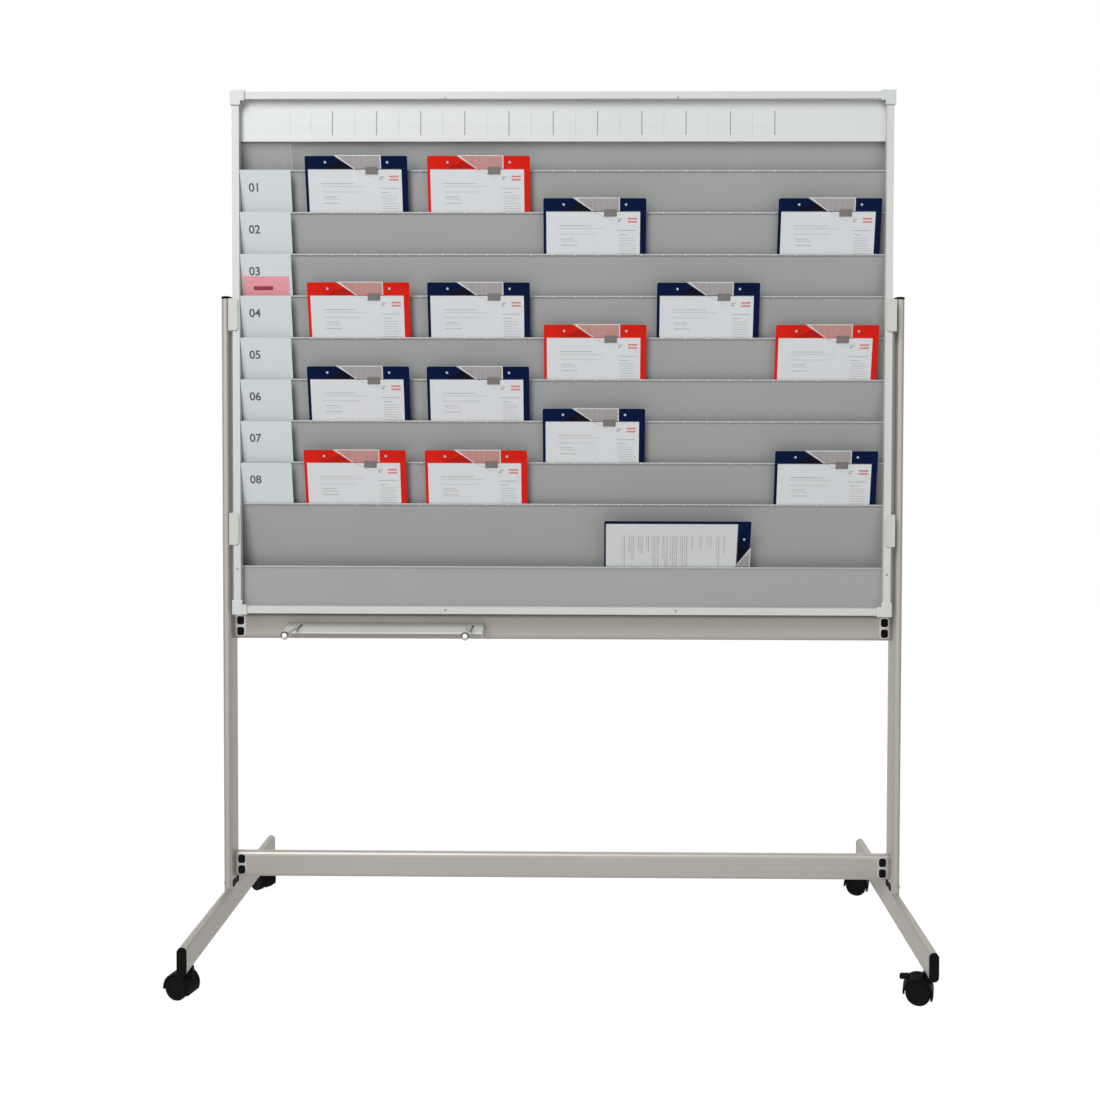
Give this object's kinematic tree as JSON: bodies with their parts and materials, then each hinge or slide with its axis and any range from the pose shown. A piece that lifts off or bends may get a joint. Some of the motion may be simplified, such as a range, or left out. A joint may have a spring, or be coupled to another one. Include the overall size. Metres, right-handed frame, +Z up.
{
  "type": "mobile planning board",
  "caption": "Mobile planning board: framed board with shingled sheet pockets for job folders, clamped between the posts of a rolling stand with swivel casters.",
  "frame": {"origin": "on the floor, under the middle of the whole outline seen from above", "axes": "+Z up, -Y is the side that the pockets face, +X to the right seen from that side"},
  "size_m": [1.6001, 0.682, 1.9403],
  "materials": {
    "anodised_profile": "satin anodised",
    "frame_paint": "pale grey powder coat",
    "corner_plastic": "fine grained moulding",
    "pocket_grey": "grey sheet steel, satin",
    "panel_grey": "grey sheet steel, satin",
    "header_white": "white sheet steel with printed lines",
    "rail_paint": "pale grey powder coat",
    "black_plastic": "black moulding",
    "wheel_black": "black moulding, soft tread",
    "folder_blue": "dark blue film cover",
    "folder_red": "red film cover",
    "clear_film": "clear film",
    "white_paper": "plain paper with grey ruled lines",
    "pink_card": "pink card",
    "steel_fastener": "zinc plated",
    "chrome_ball": "polished"
  },
  "bodies": {
    "stand": {"back_panel": "panel_grey", "frame_bottom_bar": "frame_paint", "frame_bottom_left_corner": "corner_plastic", "frame_bottom_right_corner": "corner_plastic", "frame_left_bar": "frame_paint", "frame_right_bar": "frame_paint", "frame_top_bar": "frame_paint", "frame_top_left_corner": "corner_plastic", "frame_top_right_corner": "corner_plastic", "header_strip": "header_white", "left_foot": "anodised_profile", "left_foot_front_cap": "black_plastic", "left_foot_rear_cap": "black_plastic", "left_lower_clamp": "frame_paint", "left_post": "anodised_profile", "left_upper_clamp": "frame_paint", "lower_crossbar": "anodised_profile", "pad_rail": "rail_paint", "pocket_sheet_00": "pocket_grey", "pocket_sheet_01": "pocket_grey", "pocket_sheet_02": "pocket_grey", "pocket_sheet_03": "pocket_grey", "pocket_sheet_04": "pocket_grey", "pocket_sheet_05": "pocket_grey", "pocket_sheet_06": "pocket_grey", "pocket_sheet_07": "pocket_grey", "pocket_sheet_08": "pocket_grey", "pocket_sheet_09": "pocket_grey", "right_foot": "anodised_profile", "right_foot_front_cap": "black_plastic", "right_foot_rear_cap": "black_plastic", "right_lower_clamp": "frame_paint", "right_post": "anodised_profile", "right_upper_clamp": "frame_paint", "upper_crossbar": "anodised_profile"},
    "folder_01_blue": {"folder_01_blue": "folder_blue"},
    "folder_02_red": {"folder_02_red": "folder_red"},
    "folder_03_blue": {"folder_03_blue": "folder_blue"},
    "folder_04_blue": {"folder_04_blue": "folder_blue"},
    "folder_05_red": {"folder_05_red": "folder_red"},
    "folder_06_blue": {"folder_06_blue": "folder_blue"},
    "folder_07_blue": {"folder_07_blue": "folder_blue"},
    "folder_08_red": {"folder_08_red": "folder_red"},
    "folder_09_red": {"folder_09_red": "folder_red"},
    "folder_10_blue": {"folder_10_blue": "folder_blue"},
    "folder_11_blue": {"folder_11_blue": "folder_blue"},
    "folder_12_blue": {"folder_12_blue": "folder_blue"},
    "folder_13_red": {"folder_13_red": "folder_red"},
    "folder_14_red": {"folder_14_red": "folder_red"},
    "folder_15_blue": {"folder_15_blue": "folder_blue"},
    "folder_16_blue": {"folder_16_blue": "folder_blue"},
    "front_left_swivel": {"front_left_caster_housing": "black_plastic"},
    "front_left_wheels": {"front_left_caster_wheels": "wheel_black"},
    "front_right_swivel": {"front_right_caster_housing": "black_plastic"},
    "front_right_wheels": {"front_right_caster_wheels": "wheel_black"},
    "front_right_brake": {"front_right_brake_pedal": "black_plastic"},
    "rear_left_swivel": {"rear_left_caster_housing": "black_plastic"},
    "rear_left_wheels": {"rear_left_caster_wheels": "wheel_black"},
    "rear_right_swivel": {"rear_right_caster_housing": "black_plastic"},
    "rear_right_wheels": {"rear_right_caster_wheels": "wheel_black"}
  },
  "joints": [
    {"name": "folder_01_blue_pull", "type": "slide", "parent": "stand", "child": "folder_01_blue", "axis": [0, -0.2079, 0.9781], "range_m": [0, 0.2]},
    {"name": "folder_02_red_pull", "type": "slide", "parent": "stand", "child": "folder_02_red", "axis": [0, -0.2079, 0.9781], "range_m": [0, 0.2]},
    {"name": "folder_03_blue_pull", "type": "slide", "parent": "stand", "child": "folder_03_blue", "axis": [0, -0.2079, 0.9781], "range_m": [0, 0.2]},
    {"name": "folder_04_blue_pull", "type": "slide", "parent": "stand", "child": "folder_04_blue", "axis": [0, -0.2079, 0.9781], "range_m": [0, 0.2]},
    {"name": "folder_05_red_pull", "type": "slide", "parent": "stand", "child": "folder_05_red", "axis": [0, -0.2079, 0.9781], "range_m": [0, 0.2]},
    {"name": "folder_06_blue_pull", "type": "slide", "parent": "stand", "child": "folder_06_blue", "axis": [0, -0.2079, 0.9781], "range_m": [0, 0.2]},
    {"name": "folder_07_blue_pull", "type": "slide", "parent": "stand", "child": "folder_07_blue", "axis": [0, -0.2079, 0.9781], "range_m": [0, 0.2]},
    {"name": "folder_08_red_pull", "type": "slide", "parent": "stand", "child": "folder_08_red", "axis": [0, -0.2079, 0.9781], "range_m": [0, 0.2]},
    {"name": "folder_09_red_pull", "type": "slide", "parent": "stand", "child": "folder_09_red", "axis": [0, -0.2079, 0.9781], "range_m": [0, 0.2]},
    {"name": "folder_10_blue_pull", "type": "slide", "parent": "stand", "child": "folder_10_blue", "axis": [0, -0.2079, 0.9781], "range_m": [0, 0.2]},
    {"name": "folder_11_blue_pull", "type": "slide", "parent": "stand", "child": "folder_11_blue", "axis": [0, -0.2079, 0.9781], "range_m": [0, 0.2]},
    {"name": "folder_12_blue_pull", "type": "slide", "parent": "stand", "child": "folder_12_blue", "axis": [0, -0.2079, 0.9781], "range_m": [0, 0.2]},
    {"name": "folder_13_red_pull", "type": "slide", "parent": "stand", "child": "folder_13_red", "axis": [0, -0.2079, 0.9781], "range_m": [0, 0.2]},
    {"name": "folder_14_red_pull", "type": "slide", "parent": "stand", "child": "folder_14_red", "axis": [0, -0.2079, 0.9781], "range_m": [0, 0.2]},
    {"name": "folder_15_blue_pull", "type": "slide", "parent": "stand", "child": "folder_15_blue", "axis": [0, -0.2079, 0.9781], "range_m": [0, 0.2]},
    {"name": "folder_16_blue_pull", "type": "slide", "parent": "stand", "child": "folder_16_blue", "axis": [0, -0.3681, 0.9298], "range_m": [0, 0.2]},
    {"name": "front_left_swivel", "type": "hinge", "parent": "stand", "child": "front_left_swivel", "pos_m": [-0.74747, -0.292, 0], "axis": [0, 0, 1], "continuous": true},
    {"name": "front_left_roll", "type": "hinge", "parent": "front_left_swivel", "child": "front_left_wheels", "pos_m": [-0.76534, -0.28721, 0.025], "axis": [0.2588, 0.9659, 0], "continuous": true},
    {"name": "front_right_swivel", "type": "hinge", "parent": "stand", "child": "front_right_swivel", "pos_m": [0.78253, -0.292, 0], "axis": [0, 0, 1], "continuous": true},
    {"name": "front_right_roll", "type": "hinge", "parent": "front_right_swivel", "child": "front_right_wheels", "pos_m": [0.76483, -0.28659, 0.025], "axis": [0.2924, 0.9563, 0], "continuous": true},
    {"name": "front_right_brake_press", "type": "hinge", "parent": "front_right_swivel", "child": "front_right_brake", "pos_m": [0.7435, -0.28007, 0.05158], "axis": [-0.2924, -0.9563, 0], "range_deg": [0, 20]},
    {"name": "rear_left_swivel", "type": "hinge", "parent": "stand", "child": "rear_left_swivel", "pos_m": [-0.74747, 0.292, 0], "axis": [0, 0, 1], "continuous": true},
    {"name": "rear_left_roll", "type": "hinge", "parent": "rear_left_swivel", "child": "rear_left_wheels", "pos_m": [-0.76165, 0.30389, 0.025], "axis": [0.6428, 0.766, 0], "continuous": true},
    {"name": "rear_right_swivel", "type": "hinge", "parent": "stand", "child": "rear_right_swivel", "pos_m": [0.78253, 0.292, 0], "axis": [0, 0, 1], "continuous": true},
    {"name": "rear_right_roll", "type": "hinge", "parent": "rear_right_swivel", "child": "rear_right_wheels", "pos_m": [0.76474, 0.2971, 0.025], "axis": [0.2756, 0.9613, 0], "continuous": true}
  ]
}
